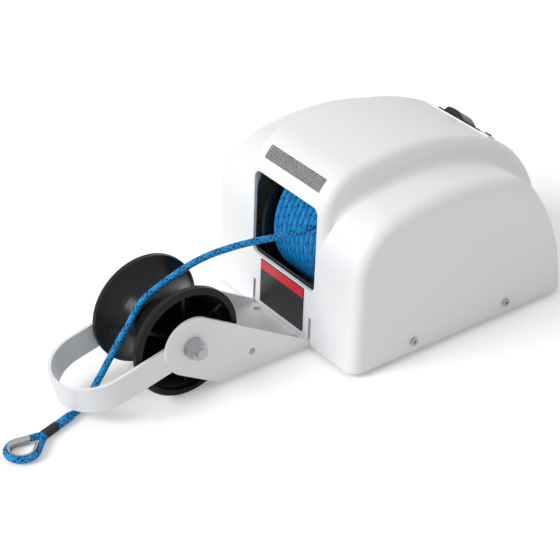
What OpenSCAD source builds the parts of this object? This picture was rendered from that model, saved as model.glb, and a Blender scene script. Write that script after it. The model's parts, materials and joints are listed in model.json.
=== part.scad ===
// Anchor windlass with a bow roller bracket, a drum with a rope, and a geared motor under a moulded cover.
// X runs across, Y runs from the bow roller (negative) to the switch panel (positive), Z is up.
// The origin is the middle of the four mounting holes, at the bottom of the rubber pads.

/* [Cover] */
// Width of the cover
cover_w = 216; // [200:1:260]
// Distance from the origin to the cover's front, at its bottom edge
cover_front = 125; // [122:1:150]
// Distance from the origin to the back of the side sections, at the bottom edge
cover_back = 130.5; // [128:1:160]
// Height of the side sections above the bottom edge
side_h = 152; // [148:1:185]
// Height of the middle hump above the bottom edge
hump_h = 178; // [174:1:215]
// Width of the middle hump
hump_w = 112; // [104:1:130]
// Distance from the origin to the back of the hump
hump_back = 141.5; // [136:1:175]
// Wall thickness of the cover
wall = 3; // [2:0.5:4]
// Backward lean of the front face in degrees
rake = 2.3; // [0:0.1:5]
// Rounding between the side faces and the outline
side_round = 12; // [8:1:16]
// Rounding along the crests of the hump
crest_round = 9; // [6:1:12]
// Height of the cover's bottom edge above the surface it stands on
skirt_z = 5; // [3:1:6]

/* [Front openings] */
// Width of the rope opening
mouth_w = 94; // [80:1:96]
// Lower edge of the rope opening, above the cover's bottom edge
mouth_low = 56; // [54:1:70]
// Upper edge of the rope opening, above the cover's bottom edge
mouth_high = 141; // [120:1:145]
// Corner radius of the rope opening
mouth_r = 7; // [3:1:12]
// Width of the light window
lens_w = 81; // [60:1:90]
// Height of the light window, along the slope
lens_h = 13.2; // [10:0.1:16]
// Slope of the light window's outward normal, measured from +Y
lens_angle = 139; // [130:1:150]
// Width of the plain front plate
plate_w = 66; // [40:1:74]
// Height of the plain front plate
plate_h = 46; // [30:1:46]

/* [Base] */
// Thickness of the base plate
base_t = 2.5; // [2:0.1:3]
// Thickness of the rubber pads
pad_t = 8; // [6:0.5:10]
// Side of the square rubber pads
pad_w = 36; // [28:1:40]
// Mounting hole spacing across
mount_x = 160; // [140:1:170]
// Mounting hole spacing front to back
mount_y = 190; // [170:1:195]
// Radius of the mounting holes
mount_r = 4.25; // [3:0.05:5]
// Distance of each cover screw from the middle, front to back
cover_screw_y = 55.5; // [40:0.5:70]

/* [Roller bracket] */
// Thickness of the bracket's sheet
sheet = 3; // [2:0.5:4]
// Outside width of the bracket
bracket_w = 88.6; // [84:0.1:92]
// Distance from the cover's front to the roller axle
axle_reach = 126.7; // [115:0.1:140]
// Height of the roller axle above the bottom of the bracket
axle_h = 48.7; // [46:0.1:56]
// Radius of the side plates' round ends
nose_r = 28; // [24:1:32]
// Slope of the side plates in degrees
plate_slope = 31; // [26:1:34]
// Width of the guard loop's flat bar
loop_bar = 26; // [20:1:30]
// Reach of the guard loop's apex beyond the start of its arms
loop_reach = 100; // [90:1:115]
// Downward tilt of the guard loop in degrees
loop_tilt = 13; // [8:1:15]

/* [Bow roller] */
// Outer radius of the roller's flanges
roller_r = 52.8; // [45:0.1:53]
// Radius of the roller's waist
waist_r = 34.5; // [28:0.1:36]
// Half of the roller's width
roller_half = 36.9; // [34:0.1:37.5]
// Radius of the axle bolt
axle_r = 5; // [4:0.5:6]

/* [Drum and drive] */
// Distance of the drum's axis in front of the origin
drum_y = 45; // [42:0.5:50]
// Height of the drum's axis
drum_z = 85.5; // [84:0.5:95]
// Radius of the drum's flanges
flange_r = 71; // [66:0.5:72]
// Radius of the rope wound on the drum
pack_r = 64; // [50:0.5:66]
// Half of the width between the drum's flanges
drum_half = 38; // [30:0.5:38]
// Radius of the drum shaft
shaft_r = 6; // [5:0.5:8]
// Teeth on the drum gear
drum_teeth = 56; // [48:1:60]
// Teeth on the small intermediate gear
small_teeth = 13; // [13:1:16]
// Teeth on the large intermediate gear
large_teeth = 48; // [40:1:52]
// Teeth on the motor pinion
pinion_teeth = 12; // [12:1:15]

/* [Rope] */
// Diameter of the anchor rope
rope_d = 6.4; // [6:0.1:6.6]

/* [Hidden] */

gap = 0.3;              // clearance between pieces that are only set in place
run = 0.05;             // radial running clearance of a shaft in its bore
half_w = cover_w / 2;
front_y = -cover_front;
base_z = pad_t;         // underside of the base plate
deck_z = base_z + base_t;

// ---- points and arcs in the Y-Z plane, written [y, z] ----
function along(a, r) = r * [cos(a), sin(a)];
function arc(c, r, a0, a1, n) = [for (i = [0:n]) c + along(a0 + (a1 - a0) * i / n, r)];
function bearing(a, b) = atan2(b[1] - a[1], b[0] - a[0]);
// The point at distance ra from a and rb from b, on the left of the line from a to b
function meet(a, ra, b, rb) =
    let (d = norm(b - a), s = (ra * ra - rb * rb + d * d) / (2 * d), u = (b - a) / d)
    a + s * u + sqrt(ra * ra - s * s) * [-u[1], u[0]];
// Centre of a circle of radius r that touches the leaning front face at height h above the bottom edge
function front_corner(r, h) = [front_y + h * tan(rake) + r / cos(rake), skirt_z + h];

// ---- outline of the side sections ----
side_front_r = 57;
side_front = front_corner(side_front_r, side_h - 61.5);
side_crown_r = 260;
side_crown_z = skirt_z + side_h - side_crown_r;
side_crown_rise = side_front[1] - side_crown_z;
side_crown = [side_front[0] + sqrt(pow(side_crown_r - side_front_r, 2) - pow(side_crown_rise, 2)),
        side_crown_z];
side_back_r = 199;
side_back = [cover_back - side_back_r, skirt_z - 3];
side_shoulder_r = 60;
side_shoulder = meet(side_back, side_back_r - side_shoulder_r, side_crown, side_crown_r - side_shoulder_r);

// ---- outline of the hump ----
hump_front_r = 43;
hump_front = front_corner(hump_front_r, hump_h - 47);
hump_crown_r = 253;
hump_crown_z = skirt_z + hump_h - hump_crown_r;
hump_crown_rise = hump_front[1] - hump_crown_z;
hump_crown = [hump_front[0] + sqrt(pow(hump_crown_r - hump_front_r, 2) - pow(hump_crown_rise, 2)),
        hump_crown_z];
hump_back_r = 116.5;
hump_rear_y = hump_back - hump_back_r;
hump_rear = [
    hump_rear_y,
    hump_crown_z + sqrt(pow(hump_crown_r - hump_back_r, 2) - pow(hump_rear_y - hump_crown[0], 2))
];

// ---- drive layout ----
drum_at = [-drum_y, drum_z];
drum_module = 2;
motor_module = 1.5;
drive_slope = -17.3;    // direction from the drum to the motor
idler_at = drum_at + along(drive_slope, drum_module * (drum_teeth + small_teeth) / 2);
motor_at = idler_at + along(drive_slope, motor_module * (large_teeth + pinion_teeth) / 2);
frame_in = 46;          // inner face of each frame side plate
frame_out = frame_in + 3;
gear_x = frame_out + 3; // start of the drum gear
gear_w = 8;
large_x = gear_x + gear_w + 2;
large_w = 6;

// ---- bracket layout ----
plate_out = bracket_w / 2;
plate_in = plate_out - sheet;
bracket_z = skirt_z;
axle_at = [front_y - axle_reach, bracket_z + axle_h];
slope_dir = [cos(plate_slope), -sin(plate_slope)];
slope_up = [sin(plate_slope), cos(plate_slope)];
nose_top = axle_at + nose_r * slope_up;
nose_low = axle_at - nose_r * slope_up;
heel = nose_low + slope_dir * (nose_low[1] - bracket_z) / sin(plate_slope);
plate_top_z = nose_top[1] - (front_y - nose_top[0]) * tan(plate_slope);
tongue_y = -72;         // end of the tongue under the base plate
bracket_bolt_x = 29;
bracket_bolt_y = -95;
loop_start_y = axle_at[0] - 10.3;
loop_start_z = axle_at[1] - 18;

// ---- switch panel layout ----
panel_angle = 52;       // direction of the panel's outward normal, measured from +Y
panel_top = hump_back_r - 0.6;
panel_t = 2.8;
panel_w = 90;
panel_h = 42;
switch_x = -14;
rocker_pivot = panel_top - 4;
rocker_rest = 10;
breaker_x = 26;

// ---- free rope ----
rope_r = rope_d / 2;
rope_low = 4.4;         // height of the spliced end's axis above the surface
splice_at = [8, -354, rope_low];
splice_turn = -72.5;
splice_r = 4.2;
splice_l = 21;
sleeve_l = 17;
eye_throat = splice_l + sleeve_l - 2;
eye_reach = 28;
eye_r = 13.3;
route = [
    [34.2, -68, 149.5], [34.2, -79, 145], [34, -89, 137.8], [33.2, -99, 128.5], [31.8, -110, 121.5],
    [30, -122, 118.5], [27, -135, 118], [23, -153, 118.3], [18.5, -172, 118.4], [15, -190, 117.8],
    [11, -209, 115.5], [7.5, -228, 110.4], [3.8, -247, 101.5], [1.4, -260, 94.5], [0.4, -270.4, 88.8],
    [0, -279.9, 80.4], [0, -287.3, 69.3], [0, -296, 58.5], [0, -305, 46.5], [0.2, -314, 34.5],
    [0.6, -322.5, 23.6], [1.7, -331, 14.4], [3.6, -339.5, 7.6], [5.9, -347.3, 4.4], splice_at
];

// ================= helpers =================

module at_yz(p) translate([0, p[0], p[1]]) children();
// Extrudes a Y-Z outline along X, starting at x
module across(x, w) translate([x, 0, 0]) rotate([90, 0, 90]) linear_extrude(w) children();
module rod(p, x0, x1, r) translate([x0, p[0], p[1]]) rotate([0, 90, 0]) cylinder(r = r, h = x1 - x0);
module both_sides() for (s = [-1, 1]) scale([s, 1, 1]) children();
module rounded(w, h, r) translate([r - w / 2, r - h / 2]) offset(r = r, $fn = 32) square([w - 2 * r,
        h - 2 * r]);
// Local frame on the hump's outline: +Y is the outward normal, +Z runs along the slope
module on_hump(c, a) at_yz(c) rotate([a, 0, 0]) children();
module hexagon(r, h) cylinder(r = r, h = h, $fn = 6);

// Outline of the side sections inset by the edge rounding
function side_points(inset) = concat(
    [[front_y - 30 * tan(rake) + inset / cos(rake), skirt_z - 30]],
    arc(side_front, side_front_r - inset, 180 - rake, bearing(side_crown, side_front), 6),
    arc(side_crown, side_crown_r - inset, bearing(side_crown, side_front), bearing(side_crown,
            side_shoulder), 7),
    arc(side_shoulder, side_shoulder_r - inset, bearing(side_crown, side_shoulder),
        bearing(side_back, side_shoulder), 4),
    arc(side_back, side_back_r - inset, bearing(side_back, side_shoulder), -6, 6)
);
function hump_points(inset) = concat(
    [[front_y - 30 * tan(rake) + inset / cos(rake), skirt_z - 30]],
    arc(hump_front, hump_front_r - inset, 180 - rake, bearing(hump_crown, hump_front), 6),
    arc(hump_crown, hump_crown_r - inset, bearing(hump_crown, hump_front), bearing(hump_crown,
            hump_rear), 7),
    arc(hump_rear, hump_back_r - inset, bearing(hump_crown, hump_rear), 0, 9),
    [[hump_back - inset, skirt_z - 30]]
);
// Solid with an outline in Y-Z and rounded ends in X, with its surface moved in by skin
module pod(points, half, round_r, skin)
    hull() for (p = points, s = [-1, 1])
        translate([s * (half - round_r), p[0], p[1]]) rotate([0, 90, 0]) sphere(round_r - skin, $fn = 20);

// ================= cover =================

module cover_solid(skin) {
    pod(side_points(side_round), half_w, side_round, skin);
    pod(hump_points(crest_round), hump_w / 2, crest_round, skin);
}
// Frame lying on the leaning front face: +Z runs up the face, -Y points outwards
module on_front() translate([0, front_y, skirt_z]) rotate([-rake, 0, 0]) children();

module cover() color("white") difference() {
    cover_solid(0);
    cover_solid(wall);
    translate([-half_w - 10, front_y - 30, skirt_z - 60]) cube([cover_w + 20,
            cover_front + hump_back + 60, 60]);
    on_front() translate([0, 12, (mouth_low + mouth_high) / 2]) rotate([90, 0, 0])
        linear_extrude(24) rounded(mouth_w, mouth_high - mouth_low, mouth_r);
    both_sides() translate([plate_in - gap, front_y - 5, skirt_z - 1]) cube([sheet + 2 * gap, 12, 29.5]);
    translate([-plate_out - gap, front_y - 5, skirt_z - 1]) cube([2 * (plate_out + gap), 12,
            sheet + 1 + gap]);
    on_hump(hump_front, lens_angle) translate([0, hump_front_r, 0])
        cube([lens_w + 2 * gap, 20, lens_h + 2 * gap], center = true);
    on_hump(hump_rear, panel_angle) translate([0, hump_back_r, 0])
        cube([panel_w + 2 * gap, 20, panel_h + 2 * gap], center = true);
    both_sides() for (y = [-cover_screw_y, cover_screw_y]) rod([y, cover_screw_z], half_w - 10,
            half_w + 5, 2.1);
    translate([grommet_x, hump_back - 10, grommet_z]) rotate([-90, 0, 0]) cylinder(r = grommet_r, h = 20);
}

cover_screw_z = skirt_z + 11.4;
module cover_screws() color("silver")
    both_sides() for (y = [-cover_screw_y, cover_screw_y]) {
        difference() {
            rod([y, cover_screw_z], half_w, half_w + 2.6, 4);
            translate([half_w + 2.1, y, cover_screw_z]) cube([2, 4.4, 1], center = true);
            translate([half_w + 2.1, y, cover_screw_z]) cube([2, 1, 4.4], center = true);
        }
        rod([y, cover_screw_z], half_w - 9, half_w, 2);
    }

module light_lens() color("gainsboro") on_hump(hump_front, lens_angle) {
    translate([-lens_w / 2, hump_front_r - 3.5, -lens_h / 2]) cube([lens_w, 3.8, lens_h]);
    both_sides() translate([lens_w / 2 - 1.5, hump_front_r - 5, -lens_h / 2]) cube([1.5, 1.5, lens_h]);
}

module light_board() color("darkgreen") on_hump(hump_front, lens_angle) {
    translate([-lens_w / 2, hump_front_r - 6.6, -5.5]) cube([lens_w, 1.6, 11]);
    for (i = [-3:3]) translate([i * 10.5 - 1.75, hump_front_r - 5, -1.75]) cube([3.5, 0.9, 3.5]);
}

module front_plate() color("dimgray") on_front()
    translate([-plate_w / 2, -0.8, 8.4]) cube([plate_w, 0.8, plate_h]);

grommet_x = 0;
grommet_z = skirt_z + 17;
grommet_r = 8;
grommet_bore = 4;
module cable_grommet() color("black") translate([grommet_x, hump_back, grommet_z]) rotate([-90, 0,
        0]) difference() {
    union() {
        cylinder(r = grommet_r + 3, h = 2);
        translate([0, 0, -wall - 0.1]) cylinder(r = grommet_r, h = wall + 0.1);
        translate([0, 0, -wall - 2.1]) cylinder(r = grommet_r + 2.5, h = 2);
    }
    translate([0, 0, -wall - 3]) cylinder(r = grommet_bore, h = wall + 6);
}

// ================= switch panel =================

module switch_panel() color("dimgray") on_hump(hump_rear, panel_angle) difference() {
    translate([-panel_w / 2, panel_top - panel_t, -panel_h / 2]) cube([panel_w, panel_t, panel_h]);
    translate([switch_x, panel_top, 0]) cube([33.4, 20, 22.4], center = true);
    translate([breaker_x, panel_top - panel_t - 1, 0]) rotate([-90, 0, 0]) cylinder(r = 5.7,
            h = panel_t + 2);
}

module switch_body() color("black") on_hump(hump_rear, panel_angle) translate([switch_x, 0,
        0]) difference() {
    union() {
        translate([-19, panel_top, -13.5]) cube([38, 1.5, 27]);
        translate([-16.6, rocker_pivot - 19, -11.1]) cube([33.2, 23.1, 22.2]);
    }
    translate([0, rocker_pivot, -10.3]) cylinder(r = 15.9, h = 20.6);
    translate([-15.9, rocker_pivot, -10.3]) cube([31.8, 20, 20.6]);
    translate([0, rocker_pivot, -12]) cylinder(r = 1.5, h = 24);
}

// Cross-section of the rocker about its pivot: round flanks inside the body, a domed top outside
module rocker_outline() difference() {
    intersection() {
        circle(r = 15.5);
        translate([0, -18.8]) circle(r = 29.5);
        translate([-20, -7]) square([40, 40]);
    }
    circle(r = 1.5 + run);
}
module switch_rocker() color("black") on_hump(hump_rear, panel_angle)
    translate([switch_x, rocker_pivot, -10]) rotate([0, 0,
            -rocker_rest]) linear_extrude(20) rocker_outline();

module rocker_pin() color("silver") on_hump(hump_rear, panel_angle)
    translate([switch_x, rocker_pivot, -11.1]) cylinder(r = 1.5, h = 22.2);

module breaker_body() color("black") on_hump(hump_rear, panel_angle) translate([breaker_x, 0,
        0]) difference() {
    union() {
        translate([-9, panel_top - panel_t - 18, -7]) cube([18, 18, 14]);
        translate([0, panel_top - panel_t - 1, 0]) rotate([-90, 0, 0]) cylinder(r = 5.5, h = panel_t + 2.2);
    }
    translate([0, panel_top - 12, 0]) rotate([-90, 0, 0]) cylinder(r = 3.5 + run, h = 20);
}

module breaker_nut() color("silver") on_hump(hump_rear, panel_angle)
    translate([breaker_x, panel_top, 0]) rotate([-90, 0, 0]) difference() {
        hexagon(8.5, 1.2);
        translate([0, 0, -1]) cylinder(r = 5.5, h = 4);
    }

module breaker_button() color("black") on_hump(hump_rear, panel_angle)
    translate([breaker_x, panel_top - 11.7, 0]) rotate([-90, 0, 0]) cylinder(r = 3.5, h = 14.2);

// ================= base =================

base_front = front_y + wall + 1.3;
base_back = cover_back - wall - 1.5;
edge_x = half_w - wall - gap;   // outer face of the up-turned edges
frame_screw_x = 57;
frame_screw_y = [-92, 0, 92];

module mount_holes(z0, z1)
    for (x = [-1, 1], y = [-1, 1])
        translate([x * mount_x / 2, y * mount_y / 2, z0]) cylinder(r = mount_r, h = z1 - z0);

module base_plate() color("silver") difference() {
    union() {
        translate([0, (base_front + base_back) / 2, base_z])
            linear_extrude(base_t) rounded(2 * edge_x, base_back - base_front, 13);
        both_sides() translate([edge_x - 3, -75, base_z]) cube([3, 150, 18]);
    }
    mount_holes(base_z - 1, deck_z + 1);
    translate([-frame_in, base_front - 5, base_z - 1]) cube([2 * frame_in, 12.5, base_t + 2]);
    both_sides() for (y = frame_screw_y) translate([frame_screw_x, y, base_z - 1]) cylinder(r = 2.6,
            h = base_t + 2);
    for (x = [-1, 1]) translate([x * bracket_bolt_x, bracket_bolt_y, base_z - 1]) cylinder(r = 3.2,
            h = base_t + 2);
    both_sides() for (y = [-cover_screw_y, cover_screw_y]) rod([y, cover_screw_z], edge_x - 5,
            edge_x + 2, 2.1);
}

module rubber_pads() color("black") difference() {
    for (x = [-1, 1], y = [-1, 1]) translate([x * mount_x / 2, y * mount_y / 2, 0])
        linear_extrude(pad_t) rounded(pad_w, pad_w, 5);
    mount_holes(-1, pad_t + 1);
}

// ================= frame =================

rod_at = [[-100, 28], [48, 118], [100, 28]];
guide_top = [front_y + wall + (mouth_low + 1) * tan(rake) + 1, skirt_z + mouth_low + 0.5];

module frame_plate() difference() {
    union() {
        across(frame_in, 3) polygon([
            [-112, deck_z], [110, deck_z], [110, 36], [98, 76], [58, 127], [36, 127], [-45, 112], [-62,
                    106],
            [guide_top[0], guide_top[1] + 4], [guide_top[0], guide_top[1] - 10], [-112, 30]
        ]);
        translate([frame_in, -104, deck_z]) cube([18, 208, 3]);
    }
    rod(drum_at, frame_in - 1, frame_out + 1, 9);
    for (p = rod_at) rod(p, frame_in - 1, frame_out + 1, 2.6);
    for (y = frame_screw_y) translate([frame_screw_x, y, deck_z - 1]) cylinder(r = 2.6, h = 6);
}
module frame_plate_left() color("gray") scale([-1, 1, 1]) frame_plate();
gearhead_screw_at = [for (a = [0:90:270]) motor_at + along(a + 45 + drive_slope, 20)];
module frame_plate_right() color("gray") difference() {
    frame_plate();
    rod(idler_at, frame_in - 1, frame_out + 1, 5);
    rod(motor_at, frame_in - 1, frame_out + 1, 12);
    for (p = gearhead_screw_at) rod(p, frame_in - 1, frame_out + 1, 2.1);
}

module frame_screws() color("silver") both_sides() for (y = frame_screw_y) {
    translate([frame_screw_x, y, deck_z + 3]) hexagon(5, 3.5);
    translate([frame_screw_x, y, base_z]) cylinder(r = 2.5, h = deck_z + 3 - base_z);
}

module tie_rods() color("silver") for (p = rod_at) difference() {
    rod(p, -frame_in, frame_in, 4);
    both_sides() rod(p, frame_in - 13, frame_in + 1, 2.6);
}

module tie_rod_screws() color("silver") both_sides() for (p = rod_at) {
    translate([frame_out, p[0], p[1]]) rotate([0, 90, 0]) hexagon(4.6, 3);
    rod(p, frame_in - 12, frame_out, 2.5);
}

// Bent sheet behind the lower edge of the rope opening
module rope_guide() color("dimgray") across(-frame_in, 2 * frame_in) polygon([
    guide_top, guide_top + [2.4, 0], [-109, 52.2], [-109, 36], [-111, 36], [-111, 51.5]
]);

// ================= roller bracket =================

module roller_bracket() color("white") difference() {
    union() {
        both_sides() across(plate_in, sheet) {
            polygon([nose_low, heel, [front_y + 8, bracket_z], [front_y + 8, plate_top_z], [front_y,
                    plate_top_z],
                nose_top]);
            translate(axle_at) circle(r = nose_r);
        }
        translate([-plate_out, heel[0], bracket_z]) cube([bracket_w, tongue_y - heel[0], sheet]);
    }
    rod(axle_at, -plate_out - 1, plate_out + 1, axle_r + run);
    rod(side_hole_at, -plate_out - 1, plate_out + 1, 3.5);
    for (x = [-1, 1]) {
        translate([x * bracket_bolt_x, front_y - 5.6, bracket_z - 1]) cylinder(r = 3.75, h = sheet + 2);
        translate([x * bracket_bolt_x, bracket_bolt_y, bracket_z - 1]) cylinder(r = 3.2, h = sheet + 2);
    }
}
side_hole_at = [front_y - 64, bracket_z + 18.8];

// Plan of the loop: a half circle at the end of two straight arms
module loop_plan(r, arm) {
    translate([0, -arm]) circle(r = r);
    translate([-r, -arm]) square([2 * r, arm]);
}
module guard_loop() color("white") {
    arm = loop_reach - plate_in;
    translate([0, loop_start_y, loop_start_z]) rotate([loop_tilt, 0,
            0]) linear_extrude(loop_bar) difference() {
        loop_plan(plate_in, arm);
        loop_plan(plate_in - sheet, arm + 0.001);
        translate([sheet - plate_in, -arm]) square([2 * (plate_in - sheet), arm + 1]);
    }
}

module bracket_bolts() color("silver") for (x = [-1, 1]) translate([x * bracket_bolt_x, bracket_bolt_y,
        0]) {
    translate([0, 0, bracket_z - 3.5]) hexagon(6, 3.5);
    translate([0, 0, bracket_z]) cylinder(r = 3, h = deck_z - bracket_z + 7);
}
module bracket_nuts() color("silver") for (x = [-1, 1]) translate([x * bracket_bolt_x, bracket_bolt_y,
        deck_z])
    difference() {
        hexagon(6, 5);
        translate([0, 0, -1]) cylinder(r = 3, h = 7);
    }

// ================= bow roller =================

rim_w = 6;
waist_arc = (pow(roller_r - waist_r, 2) + pow(roller_half - rim_w, 2)) / (2 * (roller_r - waist_r));
waist_c = waist_r + waist_arc;
bush_r = 8;
hub_r = 13;
rim_in = roller_r - 6;
// Radius of the roller's groove, or of a surface moved in by skin, at a distance x from the middle
function groove_r(x, skin) = waist_c - sqrt(pow(waist_arc + skin, 2) - x * x);

module roller_profile() polygon(concat(
    [[bush_r, -roller_half], [roller_r - 1.5, -roller_half], [roller_r, -roller_half + 1.5]],
    [for (i = [-8:8]) let (x = i / 8 * (roller_half - rim_w)) [groove_r(x, 0), x]],
    [[roller_r, roller_half - 1.5], [roller_r - 1.5, roller_half], [bush_r, roller_half]]
));
web_x = 8;
module roller_pocket() difference() {
    rotate_extrude() polygon(concat(
        [[hub_r, web_x]],
        [for (i = [0:6]) let (x = web_x + i / 6 * (roller_half - rim_w + 1 - web_x))
            [min(rim_in, groove_r(x, 4.5)), x]],
        [[rim_in, roller_half + 1], [hub_r, roller_half + 1]]
    ));
    for (a = [0:60:300]) rotate([0, 0, a]) translate([0, -1.5, 0]) cube([roller_r, 3, roller_half - 6]);
}
module bow_roller() color("black") at_yz(axle_at) rotate([0, 90, 0]) difference() {
    rotate_extrude() roller_profile();
    roller_pocket();
    mirror([0, 0, 1]) roller_pocket();
}

module roller_bush() color("ivory") difference() {
    rod(axle_at, -plate_in + gap, plate_in - gap, bush_r);
    rod(axle_at, -plate_in, plate_in, axle_r + run);
}

washer_t = 1.6;
module roller_bolt() color("silver") {
    translate([-plate_out - washer_t - 6.4, axle_at[0], axle_at[1]]) rotate([0, 90, 0]) hexagon(9.8, 6.4);
    rod(axle_at, -plate_out - washer_t, plate_out + washer_t + 14, axle_r);
}
module roller_washers() color("silver") both_sides() difference() {
    rod(axle_at, plate_out, plate_out + washer_t, 10);
    rod(axle_at, plate_out - 1, plate_out + washer_t + 1, axle_r + 0.2);
}
module roller_nut() color("silver") difference() {
    translate([plate_out + washer_t, axle_at[0], axle_at[1]]) rotate([0, 90, 0]) union() {
        hexagon(9.8, 8);
        cylinder(r = 7.6, h = 10.5);
    }
    rod(axle_at, plate_out, plate_out + 20, axle_r);
}

// ================= drum =================

hub_core_r = 22;
flange_t = 4;
module drum() color("black") difference() {
    union() {
        rod(drum_at, -drum_half, drum_half, hub_core_r);
        both_sides() rod(drum_at, drum_half, drum_half + flange_t, flange_r);
        both_sides() rod(drum_at, drum_half + flange_t, frame_in - 2 - gap, 13);
    }
    rod(drum_at, -frame_in, frame_in, shaft_r);
}

module rope_pack() color("dodgerblue") difference() {
    rod(drum_at, -drum_half, drum_half, pack_r);
    rod(drum_at, -drum_half - 1, drum_half + 1, hub_core_r);
}

module drum_shaft() color("silver") rod(drum_at, -frame_out - 4, gear_x + gear_w + 4, shaft_r);

module shaft_bushes() color("goldenrod") both_sides() difference() {
    union() {
        rod(drum_at, frame_in - 2, frame_in, 12);
        rod(drum_at, frame_in, frame_out, 9);
    }
    rod(drum_at, frame_in - 3, frame_out + 1, shaft_r + run);
}

module shaft_ring() color("silver") difference() {
    rod(drum_at, -frame_out - 1.5, -frame_out - gap, 9.5);
    rod(drum_at, -frame_out - 2, -frame_out, shaft_r);
}

// ================= gears =================

pressure = 20;
backlash = 0.34;
function involute(a) = tan(a) * 180 / PI - a;
// Half of a tooth's angle at radius r
function tooth_half(r, pitch_r, teeth) =
    let (base_r = pitch_r * cos(pressure), a = acos(min(1, base_r / max(r, base_r))))
    90 / teeth - backlash / (4 * pitch_r) * 180 / PI + involute(pressure) - involute(a);
function tooth(m, teeth, turn, add) =
    let (p = m * teeth / 2, rs = [p - 1.25 * m, p - 0.55 * m, p, p + add * m / 2, p + add * m])
    concat(
        [for (i = [0:4]) along(turn - tooth_half(rs[i], p, teeth), rs[i])],
        [for (i = [4:-1:0]) along(turn + tooth_half(rs[i], p, teeth), rs[i])]
    );
module gear(m, teeth, turn, add) polygon([for (i = [0:teeth - 1]) each tooth(m, teeth,
        turn + i * 360 / teeth, add)]);
// A tooth of the driven gear points along the centre line; its partner has a space there
function space_turn(teeth) = drive_slope + 180 + 180 / teeth;

module drum_gear() color("gray") difference() {
    union() {
        across(gear_x, gear_w) translate(drum_at) gear(drum_module, drum_teeth, drive_slope, 0.85);
        rod(drum_at, frame_out + gap, gear_x, 12);
    }
    rod(drum_at, frame_out, gear_x + gear_w + 1, shaft_r);
    for (a = [0:60:300]) rod(drum_at + along(a, 33), gear_x - 1, gear_x + gear_w + 1, 11);
}

pin_r = 4;
module gear_pin() color("silver") {
    rod(idler_at, frame_in - 2, frame_in, 7);
    rod(idler_at, frame_in, frame_out, 5);
    rod(idler_at, frame_out, gear_x - gap, 6.5);
    rod(idler_at, gear_x - gap, large_x + large_w + 3, pin_r);
}

module compound_gear() color("silver") difference() {
    union() {
        across(gear_x, gear_w) translate(idler_at) gear(drum_module, small_teeth,
                space_turn(small_teeth), 0.9);
        rod(idler_at, gear_x + gear_w, large_x, 12);
        across(large_x, large_w) translate(idler_at) gear(motor_module, large_teeth, drive_slope, 0.85);
    }
    rod(idler_at, gear_x - 1, large_x + large_w + 1, pin_r + run);
    for (a = [0:72:288]) rod(idler_at + along(a, 24), large_x - 1, large_x + large_w + 1, 6.5);
}

module gear_ring() color("silver") difference() {
    rod(idler_at, large_x + large_w + gap, large_x + large_w + 1.5, 7);
    rod(idler_at, large_x + large_w, large_x + large_w + 3, pin_r);
}

// ================= motor =================

gearhead_l = 30;
gearhead_x = frame_in - gearhead_l;
motor_l = 52;
module gearhead() color("silver") difference() {
    union() {
        rod(motor_at, gearhead_x, frame_in, 28);
        rod(motor_at, frame_in, frame_out, 12);
    }
    rod(motor_at, frame_in - 6, frame_out + 1, 4 + run);
    for (p = gearhead_screw_at) rod(p, frame_in - 11, frame_in + 1, 2.1);
}
module motor() color("dimgray") {
    rod(motor_at, gearhead_x - motor_l, gearhead_x, 26);
    rod(motor_at, gearhead_x - motor_l - 4, gearhead_x - motor_l, 10);
    for (a = [90, 270]) translate([gearhead_x - motor_l - 6, motor_at[0], motor_at[1]])
        rotate([a, 0, 0]) translate([0, -2, 14]) cube([6, 4, 7]);
}
module motor_pinion() color("silver") {
    rod(motor_at, frame_in - 5.7, large_x, 4);
    across(large_x, large_w) translate(motor_at) gear(motor_module, pinion_teeth,
            space_turn(pinion_teeth), 0.9);
    rod(motor_at, large_x + large_w, large_x + large_w + 2, 4);
}
module gearhead_screws() color("silver") for (p = gearhead_screw_at) {
    rod(p, frame_out, frame_out + 2.8, 3.5);
    rod(p, frame_in - 10, frame_out, 2);
}

// ================= electrics on the base plate =================

module control_relay() color("black") translate([-98, -44, deck_z]) {
    cube([28, 30, 26]);
    for (i = [0:2]) translate([4, 5 + 8 * i, 26]) cube([7, 1.2, 7]);
}
module terminal_block() color("ivory") translate([-92, 8, deck_z]) difference() {
    cube([20, 46, 15]);
    for (i = [0:3]) translate([10, 7 + i * 10.6, 7]) cylinder(r = 3, h = 9);
    for (i = [0:3]) translate([-1, 7 + i * 10.6 - 2.5, 3]) cube([22, 5, 5]);
}

// ================= rope and its end =================

function unit(v) = v / norm(v);
function tangent(i) = unit(route[min(i + 1, len(route) - 1)] - route[max(i - 1, 0)]);
function ring(c, t, r, sides) =
    let (u = unit(cross([1, 0, 0], t)), v = cross(t, u))
    [for (k = [0:sides - 1]) c + r * (cos(360 * k / sides) * u + sin(360 * k / sides) * v)];
module tube(points, r, sides) {
    n = len(points);
    polyhedron(
        points = [for (i = [0:n - 1]) each ring(points[i], tangent(i), r, sides)],
        faces = concat(
            [[for (k = [0:sides - 1]) k]],
            [for (i = [0:n - 2], k = [0:sides - 1])
                [i * sides + k, (i + 1) * sides + k, (i + 1) * sides + (k + 1) % sides,
                        i * sides + (k + 1) % sides]],
            [[for (k = [sides - 1:-1:0]) (n - 1) * sides + k]]
        )
    );
}
module anchor_rope() color("dodgerblue") tube(route, rope_r, 10);

// Local frame of the spliced end: +X runs along the rope towards the eye
module on_splice() translate(splice_at) rotate([0, 0, splice_turn]) children();

module rope_splice() color("dodgerblue") on_splice() rotate([0, 90, 0]) cylinder(r = splice_r,
        h = splice_l);
module whipping_sleeve() color("black") on_splice() translate([splice_l, 0, 0]) rotate([0, 90, 0])
    cylinder(r = rope_low, h = sleeve_l);

eye_half = asin(eye_r / eye_reach);
eye_leg = sqrt(eye_reach * eye_reach - eye_r * eye_r);
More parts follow.
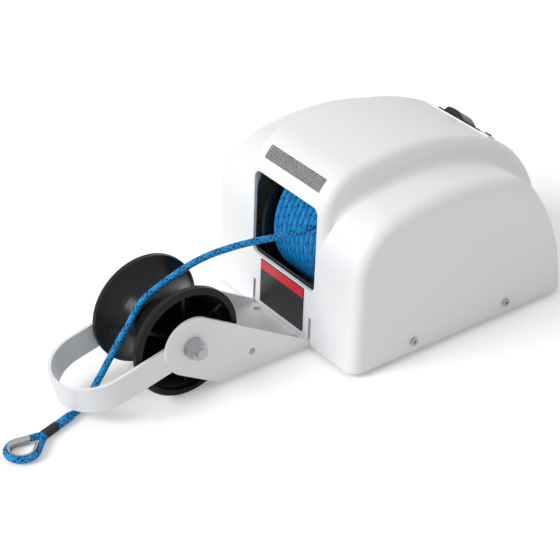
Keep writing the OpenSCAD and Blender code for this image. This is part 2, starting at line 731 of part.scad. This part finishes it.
// Sweeps a section, drawn at radius eye_r from the eye's middle, round the teardrop
module teardrop(from_x) translate([eye_throat + eye_reach, 0, 0]) {
    rotate([0, 0, -90 - eye_half]) rotate_extrude(angle = 180 + 2 * eye_half) children();
    teardrop_leg(from_x) children();
    mirror([0, 1, 0]) teardrop_leg(from_x) children();
}
module teardrop_leg(from_x) intersection() {
    rotate([0, 0, 90 + eye_half]) rotate([-90, 0, 0]) linear_extrude(eye_leg) children();
    translate([from_x - eye_throat - eye_reach, 0, -20]) cube([100, 40, 40]);
}

// Centre line of the rope round the eye, out from the throat and back to it
eye_mid = [eye_throat + eye_reach, 0];
eye_path = concat(
    [[eye_throat, 0]],
    arc(eye_mid, eye_r, -90 - eye_half, 90 + eye_half, 20),
    [[eye_throat, 0]]
);
module rope_eye() color("dodgerblue") on_splice() intersection() {
    for (i = [0:len(eye_path) - 2]) hull() for (p = [eye_path[i], eye_path[i + 1]])
        translate([p[0], p[1], 0]) sphere(rope_r, $fn = 14);
    translate([splice_l + sleeve_l, -40, -20]) cube([100, 80, 40]);
}

module thimble() color("silver") on_splice()
    teardrop(splice_l + sleeve_l + 9) {
        translate([8.4, -rope_low]) square([1.4, 2 * rope_low]);
        for (z = [-rope_low, rope_low - 1]) translate([9.8, z]) square([4.4, 1]);
    }

// ================= selection =================

cover();
cover_screws();
light_lens();
light_board();
front_plate();
switch_panel();
switch_body();
switch_rocker();
rocker_pin();
breaker_body();
breaker_nut();
breaker_button();
cable_grommet();
base_plate();
rubber_pads();
frame_plate_left();
frame_plate_right();
frame_screws();
tie_rods();
tie_rod_screws();
rope_guide();
roller_bracket();
guard_loop();
bracket_bolts();
bracket_nuts();
bow_roller();
roller_bush();
roller_bolt();
roller_washers();
roller_nut();
drum();
rope_pack();
drum_shaft();
shaft_bushes();
shaft_ring();
drum_gear();
gear_pin();
compound_gear();
gear_ring();
gearhead();
motor();
motor_pinion();
gearhead_screws();
control_relay();
terminal_block();
anchor_rope();
rope_splice();
whipping_sleeve();
rope_eye();
thimble();
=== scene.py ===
import json
import math
import bmesh
import bpy
import numpy as np
from mathutils import Matrix, Vector


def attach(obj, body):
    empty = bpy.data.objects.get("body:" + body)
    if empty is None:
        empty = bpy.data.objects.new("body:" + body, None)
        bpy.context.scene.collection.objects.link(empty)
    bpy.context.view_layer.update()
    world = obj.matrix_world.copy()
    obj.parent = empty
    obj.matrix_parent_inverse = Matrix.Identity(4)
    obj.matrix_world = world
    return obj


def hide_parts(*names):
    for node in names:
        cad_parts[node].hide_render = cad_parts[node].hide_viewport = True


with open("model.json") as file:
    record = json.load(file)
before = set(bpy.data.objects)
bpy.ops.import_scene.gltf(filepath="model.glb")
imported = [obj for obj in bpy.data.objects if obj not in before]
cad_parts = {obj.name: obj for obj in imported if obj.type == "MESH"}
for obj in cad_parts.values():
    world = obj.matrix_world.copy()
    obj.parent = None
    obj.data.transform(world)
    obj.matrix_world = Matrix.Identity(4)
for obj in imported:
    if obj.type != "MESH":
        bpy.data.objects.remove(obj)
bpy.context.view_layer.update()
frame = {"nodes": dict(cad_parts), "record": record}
NODES = frame["nodes"]
MM = 0.001


def sind(a):
    return math.sin(math.radians(a))


def cosd(a):
    return math.cos(math.radians(a))


# ---------------------------------------------------------------- camera
camera = bpy.data.objects.new("camera", bpy.data.cameras.new("camera"))
bpy.context.scene.collection.objects.link(camera)
camera.location = (1.1934, -0.9982, 0.9848)
camera.rotation_mode = "QUATERNION"
look = Vector((-0.6829, 0.4992, -0.5333))
camera.rotation_quaternion = look.to_track_quat("-Z", "Y")
camera.data.sensor_width = 36
camera.data.lens = 122.73
bpy.context.scene.camera = camera


# ---------------------------------------------------------------- mesh helpers
def piece(name, verts, faces, body, material, uvs=None, sharp=35, place=None):
    """Makes one object from points in mm, smooth except at edges sharper than sharp degrees."""
    me = bpy.data.meshes.new(name)
    pts = [Vector(v) for v in verts]
    if place is not None:
        pts = [place @ p for p in pts]
    me.from_pydata([p * MM for p in pts], [], faces)
    if uvs is not None:
        layer = me.uv_layers.new(name="UVMap")
        for poly in me.polygons:
            wrap = uvs(poly.vertices)
            for k, loop in enumerate(poly.loop_indices):
                layer.data[loop].uv = wrap[k]
    bm = bmesh.new()
    bm.from_mesh(me)
    bmesh.ops.recalc_face_normals(bm, faces=bm.faces)
    bm.to_mesh(me)
    bm.free()
    me.shade_smooth()
    me.set_sharp_from_angle(angle=math.radians(sharp))
    o = bpy.data.objects.new(name, me)
    bpy.context.scene.collection.objects.link(o)
    if material is not None:
        me.materials.append(material)
    if body:
        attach(o, body)
    return o


def lathe(name, at, profile, body, material, n=128, sharp=30):
    """Turns a closed outline [(x, radius)] about the X line through at = (y, z)."""
    verts = [(x, at[0] + r * cosd(360 * k / n), at[1] + r * sind(360 * k / n))
             for x, r in profile for k in range(n)]
    p = len(profile)
    faces = [(i * n + k, i * n + (k + 1) % n, (i + 1) % p * n + (k + 1) % n, (i + 1) % p * n + k)
             for i in range(p) for k in range(n)]
    return piece(name, verts, faces, body, material, sharp=sharp)


def smooth_path(points, step):
    """Catmull-Rom curve through the points, cut into equal steps of about step mm."""
    p = [np.array(q, float) for q in points]
    p = [2 * p[0] - p[1], *p, 2 * p[-1] - p[-2]]
    out = []
    for a, b, c, d in zip(p, p[1:], p[2:], p[3:]):
        for t in np.linspace(0, 1, 12, endpoint=False):
            out.append(0.5 * (2 * b + (c - a) * t + (2 * a - 5 * b + 4 * c - d) * t * t
                              + (3 * b - a - 3 * c + d) * t ** 3))
    out.append(p[-2])
    return even(np.array(out), step)


def even(q, step):
    s = np.concatenate([[0], np.cumsum(np.linalg.norm(np.diff(q, axis=0), axis=1))])
    u = np.linspace(0, s[-1], max(3, int(round(s[-1] / step)) + 1))
    return np.stack([np.interp(u, s, q[:, i]) for i in range(3)], axis=1)


PLAIT = 2.2     # length of one crossing of the braid, mm
STRANDS = 8     # strands each way round the braid


def sweep(name, q, radius, sides, body, material, depth=0.0, sharp=80):
    """Round tube along the points q; depth > 0 presses the braid's crossings into the surface."""
    t = np.gradient(q, axis=0)
    t /= np.linalg.norm(t, axis=1)[:, None]
    s = np.concatenate([[0], np.cumsum(np.linalg.norm(np.diff(q, axis=0), axis=1))])
    u = np.cross(t[0], [1.0, 0.1, 0.3])
    verts, n = [], len(q)
    for i in range(n):
        u = u - t[i] * np.dot(u, t[i])
        u /= np.linalg.norm(u)
        v = np.cross(t[i], u)
        r0 = radius(s[i]) if callable(radius) else radius
        for k in range(sides):
            r = r0
            if depth:
                a, b = s[i] / PLAIT + STRANDS * k / sides, s[i] / PLAIT - STRANDS * k / sides
                pick = a if (math.floor(a) + math.floor(b)) % 2 else b
                r = r0 - depth * (1 - math.sin(math.pi * (pick % 1.0)) ** 0.6)
            w = 2 * math.pi * k / sides
            verts.append(q[i] + r * (math.cos(w) * u + math.sin(w) * v))
    faces = [(i * sides + k, (i + 1) * sides + k, (i + 1) * sides + (k + 1) % sides,
        i * sides + (k + 1) % sides)
             for i in range(n - 1) for k in range(sides)]
    faces += [tuple(range(sides)), tuple((n - 1) * sides + k for k in range(sides))[::-1]]

    def uvs(ids):
        ring = [j % sides for j in ids]
        seam = len(ids) == 4 and 0 in ring and sides - 1 in ring
        return [(s[j // sides] / PLAIT,
            STRANDS * (sides if seam and j % sides == 0 else j % sides) / sides)
                for j in ids]
    return piece(name, verts, faces, body, material, uvs=uvs, sharp=sharp)


def block(name, w, h, d, r, place, body, material, edge=0.0, n=6):
    """Plate of width w (X), height h (Z) and thickness d (Y), corners r, front and back edges eased by edge."""
    rings = [(-d / 2, edge), (-d / 2 + edge, 0), (d / 2 - edge, 0),
        (d / 2, edge)] if edge else [(-d / 2, 0), (d / 2, 0)]
    verts = []
    for y, e in rings:
        rr = max(r - e, 0.05)
        for cx, cz, a0 in ((1, 1, 0), (-1, 1, 90), (-1, -1, 180), (1, -1, 270)):
            for k in range(n + 1):
                a = a0 + 90 * k / n
                verts.append((cx * (w / 2 - e - rr) + rr * cosd(a), y,
                    cz * (h / 2 - e - rr) + rr * sind(a)))
    m = 4 * (n + 1)
    faces = [(i * m + k, i * m + (k + 1) % m, (i + 1) * m + (k + 1) % m, (i + 1) * m + k)
             for i in range(len(rings) - 1) for k in range(m)]
    faces += [tuple(range(m)), tuple((len(rings) - 1) * m + k for k in range(m))]
    return piece(name, verts, faces, body, material, sharp=35, place=place)


# ---------------------------------------------------------------- materials
def material(name):
    m = bpy.data.materials.new(name)
    m.use_nodes = True
    return m, m.node_tree, m.node_tree.nodes["Principled BSDF"]


BLUE, DEEP = (0.003, 0.31, 0.74, 1), (0.003, 0.20, 0.58, 1)
NAVY, BLACK, PALE = (0.006, 0.03, 0.12, 1), (0.008, 0.01, 0.018, 1), (0.05, 0.42, 0.80, 1)


def surface(name, color, rough, metal=0.0, var=0.06, grain=1400, bump=0.08, stretch=(1, 1, 1),
    blotch=30,
            rough_var=0.07, coat=0.0, transmission=0.0, specular=0.5):
    """Colour with soft blotches, roughness that follows the fine grain, and the same fine grain in the bump."""
    m, t, b = material(name)
    link = t.links.new
    where = t.nodes.new("ShaderNodeTexCoord")
    fit = t.nodes.new("ShaderNodeMapping")
    fit.inputs["Scale"].default_value = stretch
    link(where.outputs["Object"], fit.inputs["Vector"])
    big, fine = t.nodes.new("ShaderNodeTexNoise"), t.nodes.new("ShaderNodeTexNoise")
    for n, scale, detail in ((big, blotch, 4), (fine, grain, 2)):
        n.inputs["Scale"].default_value = scale
        n.inputs["Detail"].default_value = detail
        link(fit.outputs["Vector"], n.inputs["Vector"])
    mix = t.nodes.new("ShaderNodeMix")
    mix.data_type = "RGBA"
    mix.inputs[6].default_value = (*[c * (1 - var) for c in color], 1)
    mix.inputs[7].default_value = (*[min(c * (1 + var), 1) for c in color], 1)
    link(big.outputs["Fac"], mix.inputs[0])
    link(mix.outputs[2], b.inputs["Base Color"])
    span = t.nodes.new("ShaderNodeMapRange")
    span.inputs["To Min"].default_value = max(rough - rough_var, 0.02)
    span.inputs["To Max"].default_value = min(rough + rough_var, 1)
    link(fine.outputs["Fac"], span.inputs["Value"])
    link(span.outputs["Result"], b.inputs["Roughness"])
    lift = t.nodes.new("ShaderNodeBump")
    lift.inputs["Strength"].default_value = bump
    lift.inputs["Distance"].default_value = 0.0004
    link(fine.outputs["Fac"], lift.inputs["Height"])
    link(lift.outputs["Normal"], b.inputs["Normal"])
    b.inputs["Metallic"].default_value = metal
    b.inputs["Specular IOR Level"].default_value = specular
    b.inputs["Coat Weight"].default_value = coat
    b.inputs["Coat Roughness"].default_value = 0.12
    b.inputs["Transmission Weight"].default_value = transmission
    return m


def braid(name, flecks):
    """Plaited rope from the tube's UV map: blue strands, with flecks, {strand: color}, among them, and painted
    shade that darkens the grooves between the crossings.
    """
    m, t, b = material(name)
    link = t.links.new

    def calc(kind, x, y=None):
        n = t.nodes.new("ShaderNodeMath")
        n.operation = kind
        for k, v in enumerate((x, y)):
            if isinstance(v, (int, float)):
                n.inputs[k].default_value = v
            elif v is not None:
                link(v, n.inputs[k])
        return n.outputs[0]
    uv = t.nodes.new("ShaderNodeUVMap")
    uv.uv_map = "UVMap"
    xyz = t.nodes.new("ShaderNodeSeparateXYZ")
    link(uv.outputs[0], xyz.inputs[0])
    a = calc("ADD", xyz.outputs[0], xyz.outputs[1])
    c = calc("SUBTRACT", xyz.outputs[0], xyz.outputs[1])
    fa, fc = calc("FLOOR", a), calc("FLOOR", c)
    over = calc("FLOORED_MODULO", calc("ADD", fa, fc), 2.0)
    under = calc("SUBTRACT", 1.0, over)

    def choose(p, q):
        return calc("ADD", calc("MULTIPLY", p, over), calc("MULTIPLY", q, under))
    crown = calc("SINE", calc("MULTIPLY", choose(calc("FRACT", a), calc("FRACT", c)), math.pi))
    strand = choose(calc("FLOORED_MODULO", fa, 8.0), calc("ADD", calc("FLOORED_MODULO", fc, 8.0), 8.0))
    ramp = t.nodes.new("ShaderNodeValToRGB")
    ramp.color_ramp.interpolation = "CONSTANT"
    while len(ramp.color_ramp.elements) < 16:
        ramp.color_ramp.elements.new(1.0)
    for k in range(16):
        ramp.color_ramp.elements[k].position = k / 16
        ramp.color_ramp.elements[k].color = flecks.get(k, BLUE)
    link(calc("DIVIDE", calc("ADD", strand, 0.5), 16.0), ramp.inputs[0])
    # painted shade: the strand colour is multiplied darker towards the grooves between the crossings
    shade = t.nodes.new("ShaderNodeMix")
    shade.data_type = "RGBA"
    shade.blend_type = "MULTIPLY"
    shade.inputs[0].default_value = 1.0
    painted_groove_shade = t.nodes.new("ShaderNodeValToRGB")
    painted_groove_shade.color_ramp.elements[0].color = (0.35, 0.35, 0.4, 1)
    painted_groove_shade.color_ramp.elements[1].position = 0.6
    link(crown, painted_groove_shade.inputs[0])
    link(ramp.outputs[0], shade.inputs[6])
    link(painted_groove_shade.outputs[0], shade.inputs[7])
    link(shade.outputs[2], b.inputs["Base Color"])
    fibre = t.nodes.new("ShaderNodeTexNoise")
    fibre.inputs["Scale"].default_value = 9.0
    stretch = t.nodes.new("ShaderNodeMapping")
    stretch.inputs["Scale"].default_value = (0.6, 4.0, 1.0)
    link(uv.outputs[0], stretch.inputs["Vector"])
    link(stretch.outputs[0], fibre.inputs["Vector"])
    lift = t.nodes.new("ShaderNodeBump")
    lift.inputs["Strength"].default_value = 0.6
    lift.inputs["Distance"].default_value = 0.0005
    link(calc("ADD", crown, calc("MULTIPLY", fibre.outputs["Fac"], 0.35)), lift.inputs["Height"])
    link(lift.outputs[0], b.inputs["Normal"])
    span = t.nodes.new("ShaderNodeMapRange")
    span.inputs["To Min"].default_value = 0.38
    span.inputs["To Max"].default_value = 0.62
    link(fibre.outputs["Fac"], span.inputs["Value"])
    link(span.outputs["Result"], b.inputs["Roughness"])
    b.inputs["Specular IOR Level"].default_value = 0.3
    return m


M = {
    "white_shell": surface("white_shell", (0.87, 0.885, 0.90), 0.34, var=0.012, grain=2200, bump=0.05,
        coat=0.15),
    "white_paint": surface("white_paint", (0.86, 0.87, 0.885), 0.30, var=0.015, grain=700, bump=0.07,
        coat=0.3),
    "bare_deck": surface("bare_deck", (0.50, 0.51, 0.53), 0.5, var=0.05, grain=900),
    "black_moulding": surface("black_moulding", (0.009, 0.009, 0.010), 0.25, var=0.2, grain=2600,
        bump=0.05, specular=0.2),
    "black_gloss": surface("black_gloss", (0.008, 0.008, 0.009), 0.2, var=0.15, grain=1800, bump=0.04,
        specular=0.4),
    "charcoal_moulding": surface("charcoal_moulding", (0.06, 0.064, 0.068), 0.5, var=0.12, grain=1600,
        bump=0.16),
    "black_rubber": surface("black_rubber", (0.02, 0.02, 0.021), 0.72, var=0.2, grain=1500, bump=0.3),
    "clear_lens": surface("clear_lens", (0.17, 0.175, 0.185), 0.14, var=0.05, grain=900, bump=0.05,
        transmission=0.25),
    "board": surface("board", (0.03, 0.16, 0.07), 0.4, var=0.2, grain=1500),
    "plate_enamel": surface("plate_enamel", (0.018, 0.02, 0.023), 0.28, var=0.15, grain=1500,
        bump=0.04),
    "zinc": surface("zinc", (0.52, 0.53, 0.54), 0.2, metal=1.0, var=0.08, grain=1800, blotch=220,
        bump=0.06),
    "steel": surface("steel", (0.40, 0.405, 0.41), 0.22, metal=1.0, var=0.08, stretch=(1, 1, 18),
        grain=700, bump=0.06),
    "cast": surface("cast", (0.56, 0.57, 0.58), 0.5, metal=1.0, var=0.1, grain=1500, bump=0.3),
    "bronze": surface("bronze", (0.60, 0.40, 0.19), 0.35, metal=1.0, var=0.1, grain=1500, bump=0.1),
    "nylon": surface("nylon", (0.66, 0.65, 0.58), 0.45, var=0.05, grain=1500, bump=0.1),
    "rope": braid("rope", {2: NAVY, 4: DEEP, 6: PALE, 10: BLACK, 12: DEEP, 14: PALE}),
    "whipping": surface("whipping", (0.008, 0.008, 0.009), 0.6, var=0.3, grain=2500, bump=0.5),
}
WOUND = braid("rope_wound", {3: DEEP, 5: PALE, 9: NAVY, 13: DEEP})
RED = surface("red_enamel", (0.70, 0.02, 0.03), 0.28, var=0.08, grain=1500, bump=0.04)

for entry in frame["record"]["subparts"]:
    for held in NODES[entry["node"]].material_slots:
        held.material = M[entry["material_slot"]]

# ---------------------------------------------------------------- free rope and its end
ROUTE = [
    (34.2, -68, 149.5), (34.2, -79, 145), (34, -89, 137.8), (33.2, -99, 128.5), (31.8, -110, 121.5),
    (30, -122, 118.5), (27, -135, 118), (23, -153, 118.3), (18.5, -172, 118.4), (15, -190, 117.8),
    (11, -209, 115.5), (7.5, -228, 110.4), (3.8, -247, 101.5), (1.4, -260, 94.5), (0.4, -270.4, 88.8),
    (0, -279.9, 80.4), (0, -287.3, 69.3), (0, -296, 58.5), (0, -305, 46.5), (0.2, -314, 34.5),
    (0.6, -322.5, 23.6), (1.7, -331, 14.4), (3.6, -339.5, 7.6), (5.9, -347.3, 4.4), (8, -354, 4.4),
]
ROPE_R = 3.2
path = smooth_path(ROUTE, 0.8)
rope = sweep("free_rope", path, ROPE_R, 24, "body", M["rope"], depth=0.35)
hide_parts("anchor_rope")

SPLICE_L, SLEEVE_L = 21, 17
SPLICE = Matrix.Translation(ROUTE[-1]) @ Matrix.Rotation(math.radians(-72.5), 4, "Z")


def on_splice(points):
    return np.array([tuple(SPLICE @ Vector(p)) for p in points])


splice = sweep("splice", even(on_splice([(0, 0, 0), (SPLICE_L, 0, 0)]), 0.8),
               lambda s: 3.35 + 0.8 * min(s / 5, 1) ** 0.7 - 0.25 * (s > 20), 24, "body",
                   M["rope"], depth=0.4)
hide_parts("rope_splice")
sleeve = sweep("sleeve", even(on_splice([(SPLICE_L, 0, 0), (SPLICE_L + SLEEVE_L, 0, 0)]), 0.15),
               lambda s: 3.95 + 0.4 * abs(math.sin(math.pi * s / 0.85)) ** 0.5, 40, "body",
                   M["whipping"])
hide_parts("whipping_sleeve")
THROAT_X, EYE_X, EYE_R, EYE_HALF = 36, 64, 13.3, 28.36
arc = [(EYE_X + EYE_R * cosd(a), EYE_R * sind(a), 0) for a in np.linspace(-90 - EYE_HALF, 90 + EYE_HALF,
    60)]
start = [(THROAT_X + f * (arc[0][0] - THROAT_X), f * arc[0][1], 0) for f in np.linspace(0.07, 0.95, 8)]
eye = sweep("eye_rope", even(on_splice(start + arc + [(x, -y, z) for x, y, z in start[::-1]]), 0.8),
    ROPE_R, 24,
            "body", M["rope"], depth=0.35)
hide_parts("rope_eye")
rim = [(-r * cosd(a), r * sind(a)) for r,
    angles in ((4.38, range(-80, 81, 10)), (3.3, range(80, -81, -10)))
       for a in angles]
run = [p for p in start if p[0] > 47] + arc + [(x, -y, z) for x, y, z in start[::-1] if x > 47]
side = np.array([(*(np.array(b) - np.array(a))[:2],) for a, b in zip([run[0]] + run, run + [run[-1]])])
ring = []
for p, d in zip(run, side[1:] + side[:-1]):
    out = np.array([d[1], -d[0]]) / np.hypot(*d)
    ring += [(p[0] + q * out[0], p[1] + q * out[1], z) for q, z in rim]
w = len(rim)
thimble = piece("thimble_rim", ring,
    [(i * w + k, (i + 1) * w + k, (i + 1) * w + (k + 1) % w, i * w + (k + 1) % w)
                                      for i in range(len(run) - 1) for k in range(w)]
                + [tuple(range(w)), tuple((len(run) - 1) * w + k for k in range(w))],
                "body", M["steel"], place=SPLICE, sharp=50)
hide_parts("thimble")

# ---------------------------------------------------------------- rope wound on the drum
DRUM = (-45.0, 85.5)
turns, lay_r = 10.5, 60.8
coil = [(-34.7 + 69.4 * i / (turns * 60), DRUM[0] + lay_r * cosd(6 * i), DRUM[1] + lay_r * sind(6 * i))
        for i in range(int(turns * 60) + 1)]
wound = sweep("wound_rope", even(np.array(coil), 2.2), ROPE_R, 16, "drum", WOUND)
# painted shade: the black core fills the rope pack under the one wound layer, so the gaps between turns read
# dark
core = lathe("rope_core_painted_shade", DRUM, [(-37.9, 22.2), (-37.9, 59), (37.9, 59), (37.9, 22.2)], "drum",
             M["black_moulding"])
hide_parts("rope_pack")
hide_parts("rope_pack")

# ---------------------------------------------------------------- housing
FRONT, SKIRT, RAKE = -125.0, 5.0, 2.3


def bearing(a, b):
    return math.degrees(math.atan2(b[1] - a[1], b[0] - a[0]))


def meet(a, ra, b, rb):
    a, b = np.array(a), np.array(b)
    d = np.linalg.norm(b - a)
    s = (ra * ra - rb * rb + d * d) / (2 * d)
    u = (b - a) / d
    return a + s * u + math.sqrt(ra * ra - s * s) * np.array([-u[1], u[0]])


def front_corner(r, h):
    return (FRONT + h * math.tan(math.radians(RAKE)) + r / cosd(RAKE), SKIRT + h)


def crown_of(front, r_front, top, r_crown):
    z = SKIRT + top - r_crown
    return (front[0] + math.sqrt((r_crown - r_front) ** 2 - (front[1] - z) ** 2), z)


SIDE_F, HUMP_F = front_corner(57, 90.5), front_corner(43, 131)
SIDE_C, HUMP_C = crown_of(SIDE_F, 57, 152, 260), crown_of(HUMP_F, 43, 178, 253)
SIDE_B = (-68.5, 2.0)
SIDE_S = meet(SIDE_B, 199 - 60, SIDE_C, 260 - 60)
HUMP_R = (25.0, HUMP_C[1] + math.sqrt((253 - 116.5) ** 2 - (25.0 - HUMP_C[0]) ** 2))


def bow(c, r, a0, a1, n=60):
    return [(c[0] + r * cosd(a), c[1] + r * sind(a)) for a in np.linspace(a0, a1, n)]


def side_line(inset):
    return bow(SIDE_F, 57 - inset, 180 - RAKE, bearing(SIDE_C, SIDE_F)) \
        + bow(SIDE_C, 260 - inset, bearing(SIDE_C, SIDE_F), bearing(SIDE_C, SIDE_S)) \
        + bow(SIDE_S, 60 - inset, bearing(SIDE_C, SIDE_S), bearing(SIDE_B, SIDE_S)) \
        + bow(SIDE_B, 199 - inset, bearing(SIDE_B, SIDE_S), -6)


def hump_line(inset):
    return bow(HUMP_F, 43 - inset, 180 - RAKE, bearing(HUMP_C, HUMP_F)) \
        + bow(HUMP_C, 253 - inset, bearing(HUMP_C, HUMP_F), bearing(HUMP_C, HUMP_R)) \
        + bow(HUMP_R, 116.5 - inset, bearing(HUMP_C, HUMP_R), 0) \
        + [(141.5 - inset, z) for z in np.linspace(50, -20, 60)]


MID = (8.0, SKIRT)
THETA = np.linspace(0, 180, 221)


def polar(line, inset):
    """Distance from MID to the outline in each direction THETA."""
    x0 = FRONT - 30 * math.tan(math.radians(RAKE)) + inset / cosd(RAKE)
    first = line[0]
    front = [(x0 + (first[0] - x0) * k / 80,
        SKIRT - 30 + (first[1] - SKIRT + 30) * k / 80) for k in range(80)]
    p = np.array(front + line) - np.array(MID)
    a = np.degrees(np.arctan2(p[:, 1], p[:, 0]))
    a[a < -90] += 360
    order = np.argsort(a)
    return np.interp(THETA, a[order], np.hypot(p[:, 0], p[:, 1])[order])


def rounding(r, d):
    return r - math.sqrt(max(r * r - d * d, 0))


HUMP_HALF, CREST, HALF_W, EDGE, FILLET = 56.0, 9.0, 108.0, 12.0, 10.0
rows = []           # (x, distances from MID)
side0 = polar(side_line(0), 0)
hump9 = polar(hump_line(CREST), CREST)
for x in (0, 12, 24, 36, 43):
    rows.append((x, np.maximum(polar(hump_line(0), 0), side0)))
for k in range(0, 9):
    d = CREST * sind(90 * k / 8)
    rows.append((HUMP_HALF - CREST + d,
        np.maximum(polar(hump_line(rounding(CREST, d)), rounding(CREST, d)), side0)))
step_h = np.maximum(hump9 - side0, 0)
fillet = np.minimum(FILLET, step_h * 0.8)
for d in (0, 0.5, 1.2, 2.2, 3.5, 5, 7, 10):
    rise = np.where(d < fillet, fillet - np.sqrt(np.maximum(fillet ** 2 - (fillet - d) ** 2, 0)), 0)
    rows.append((HUMP_HALF + d, side0 + rise))
for x in (76, 86):
    rows.append((x, side0))
for k in range(0, 9):
    d = EDGE * sind(90 * k / 8)
    rows.append((HALF_W - EDGE + d, polar(side_line(rounding(EDGE, d)), rounding(EDGE, d))))
edge_row = rows[-1][1]
for f in (0.9, 0.6, 0.3, 0.0):
    rows.append((HALF_W, edge_row * f))
rows = [(-x, r) for x, r in rows[:0:-1]] + rows
verts, m = [], len(THETA)
for x, r in rows:
    verts += [(x, MID[0] + q * cosd(a), MID[1] + q * sind(a)) for q, a in zip(r, THETA)]
faces = [(i * m + k, i * m + k + 1, (i + 1) * m + k + 1, (i + 1) * m + k)
         for i in range(len(rows) - 1) for k in range(m - 1)]
housing = piece("housing", verts, faces, None, M["white_shell"])
bm = bmesh.new()
bm.from_mesh(housing.data)
bmesh.ops.remove_doubles(bm, verts=bm.verts, dist=2e-6)
bmesh.ops.dissolve_degenerate(bm, edges=bm.edges, dist=1e-6)
bmesh.ops.recalc_face_normals(bm, faces=bm.faces)
top = max(bm.faces, key=lambda f: f.calc_center_median().z)
if top.normal.z < 0:
    bmesh.ops.reverse_faces(bm, faces=bm.faces)
bm.to_mesh(housing.data)
bm.free()
shell = housing.modifiers.new("shell", "SOLIDIFY")
shell.thickness = 3 * MM
shell.offset = -1
FACE = Matrix.Translation((0, FRONT, SKIRT)) @ Matrix.Rotation(math.radians(-RAKE), 4, "X")


def on_hump(c, a):
    return Matrix.Translation((0, c[0], c[1])) @ Matrix.Rotation(math.radians(a), 4, "X")


LENS, PANEL = on_hump(HUMP_F, 139), on_hump(HUMP_R, 52)
cutters = [
    block("cut_mouth", 94, 85, 30, 7, FACE @ Matrix.Translation((0, 0, 98.5)), None, None),
    block("cut_lens", 81.4, 13.6, 20, 0.5, LENS @ Matrix.Translation((0, 43, 0)), None, None),
    block("cut_panel", 90.4, 42.4, 20, 2, PANEL @ Matrix.Translation((0, 116.5, 0)), None, None),
    block("cut_cable", 16.4, 16.4, 30, 8.1, Matrix.Translation((0, 140, 22)), None, None),
]
for s in (-1, 1):
    cutters.append(block("cut_slot", 3.6, 40, 16, 0.3, Matrix.Translation((s * 42.8, -125, 12.5)), None,
        None))
cutters.append(block("cut_sill", 89.4, 14, 16, 0.3, Matrix.Translation((0, -125, 2)), None, None))
for k, c in enumerate(cutters):
    cut = housing.modifiers.new("cut%d" % k, "BOOLEAN")
    cut.operation = "DIFFERENCE"
    cut.solver = "EXACT"
    cut.object = c
graph = bpy.context.evaluated_depsgraph_get()
whole = bpy.data.meshes.new_from_object(housing.evaluated_get(graph))
housing.modifiers.clear()
housing.data = whole
for c in cutters:
    bpy.data.objects.remove(c)
whole.shade_smooth()
whole.set_sharp_from_angle(angle=math.radians(30))
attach(housing, "body")
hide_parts("cover")

# ---------------------------------------------------------------- lens, front plate
ribs, top_pts, nx = 30, [], 30 * 6
for i in range(nx + 1):
    x = -40.5 + 81 * i / nx
    top_pts.append((x, 0.1 - 0.45 * (1 - abs(math.sin(math.pi * ribs * i / nx)) ** 0.7)))
outline = [(x, 43 + y) for x, y in top_pts] + [(40.5, 39.8), (-40.5, 39.8)]
lens_verts = [(x, y, z) for z in (-6.6, 6.6) for x, y in outline]
k = len(outline)
lens_faces = [(i, (i + 1) % k, k + (i + 1) % k, k + i) for i in range(k)] + [tuple(range(k)),
    tuple(range(k, 2 * k))]
lens = piece("ribbed_lens", lens_verts, lens_faces, "body", M["clear_lens"], place=LENS,
    sharp=50)
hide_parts("light_lens")
plate = block("front_badge", 66, 46, 0.8, 1.5, FACE @ Matrix.Translation((0, -0.4, 31.4)), "body",
              M["plate_enamel"], edge=0.2)
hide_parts("front_plate")
block("badge_band", 64.6, 9.5, 0.3, 1.0, FACE @ Matrix.Translation((0, -0.8, 48.8)), "body",
             RED, edge=0.1)

# ---------------------------------------------------------------- floor, light
floor = piece("floor", [(-6000, -6000, -0.05), (6000, -6000, -0.05), (6000, 6000, -0.05),
    (-6000, 6000, -0.05)],
              [(0, 1, 2, 3)], None, None)
m, t, b = material("floor")
out = t.nodes["Material Output"]
t.nodes.remove(b)
base, glow, both, ray = (t.nodes.new("ShaderNode" + s) for s in ("BsdfDiffuse", "Emission", "AddShader",
    "LightPath"))
base.inputs["Color"].default_value = (0.93, 0.93, 0.93, 1)
scale = t.nodes.new("ShaderNodeMath")
scale.operation = "MULTIPLY"
scale.inputs[1].default_value = 0.25
t.links.new(ray.outputs["Is Camera Ray"], scale.inputs[0])
t.links.new(scale.outputs[0], glow.inputs["Strength"])
t.links.new(base.outputs[0], both.inputs[0])
t.links.new(glow.outputs[0], both.inputs[1])
t.links.new(both.outputs[0], out.inputs["Surface"])
floor.data.materials.append(m)

world = bpy.data.worlds.new("world")
bpy.context.scene.world = world
world.use_nodes = True
t = world.node_tree
back = t.nodes["Background"]
back.inputs["Color"].default_value = (1, 1, 1, 1)
ray = t.nodes.new("ShaderNodeLightPath")


def larger(p, q):
    n = t.nodes.new("ShaderNodeMath")
    n.operation = "MAXIMUM"
    t.links.new(p, n.inputs[0])
    t.links.new(q, n.inputs[1])
    return n.outputs[0]


seen = larger(larger(ray.outputs["Is Camera Ray"], ray.outputs["Is Glossy Ray"]),
    ray.outputs["Is Transmission Ray"])
level = t.nodes.new("ShaderNodeMapRange")
level.inputs["To Min"].default_value = 0.50
level.inputs["To Max"].default_value = 1.0
t.links.new(seen, level.inputs["Value"])
t.links.new(level.outputs["Result"], back.inputs["Strength"])
sun = bpy.data.objects.new("key", bpy.data.lights.new("key", "SUN"))
bpy.context.scene.collection.objects.link(sun)
sun.data.energy = 1.9
sun.data.angle = 0.5
sun.rotation_mode = "QUATERNION"
sun.rotation_quaternion = Vector((0.17, 0.78, -0.58)).to_track_quat("-Z", "Y")
bpy.context.scene.view_settings.view_transform = "Standard"
